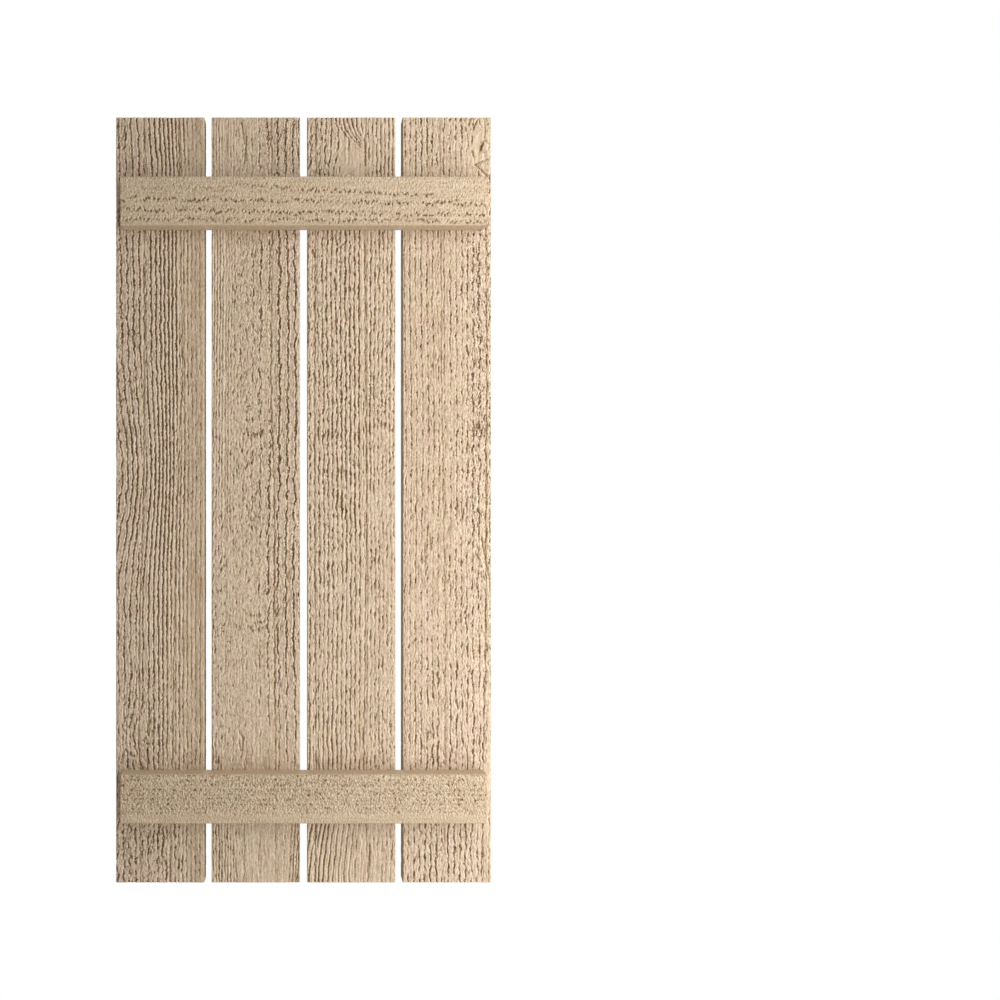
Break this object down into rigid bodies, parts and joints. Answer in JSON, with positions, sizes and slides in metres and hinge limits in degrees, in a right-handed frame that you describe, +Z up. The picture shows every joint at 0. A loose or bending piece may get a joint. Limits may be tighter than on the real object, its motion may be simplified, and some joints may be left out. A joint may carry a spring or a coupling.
{
  "type": "board and batten shutter",
  "caption": "Fixed exterior window shutter of spaced upright boards tied by battens across the front, rough textured and primed tan, with a flat back that goes against a wall.",
  "frame": {"origin": "lower left corner of the flat wall face, seen from the front", "axes": "+X right along the battens seen from the front, +Y out of the back into the wall, +Z up along the boards"},
  "size_m": [0.5982, 0.0508, 1.2192],
  "materials": {
    "board_finish": "rough sawn face with raised grain, primed matte tan",
    "batten_finish": "pitted rough sawn face with smooth edges, primed matte tan",
    "screw_steel": "plain zinc-plated steel"
  },
  "bodies": {
    "root": {"board_1": "board_finish", "board_2": "board_finish", "board_3": "board_finish", "board_4": "board_finish", "top_batten": "batten_finish", "bottom_batten": "batten_finish", "top_screw_1": "screw_steel", "top_screw_2": "screw_steel", "top_screw_3": "screw_steel", "top_screw_4": "screw_steel", "top_screw_5": "screw_steel", "top_screw_6": "screw_steel", "top_screw_7": "screw_steel", "top_screw_8": "screw_steel", "bottom_screw_1": "screw_steel", "bottom_screw_2": "screw_steel", "bottom_screw_3": "screw_steel", "bottom_screw_4": "screw_steel", "bottom_screw_5": "screw_steel", "bottom_screw_6": "screw_steel", "bottom_screw_7": "screw_steel", "bottom_screw_8": "screw_steel"}
  },
  "joints": []
}
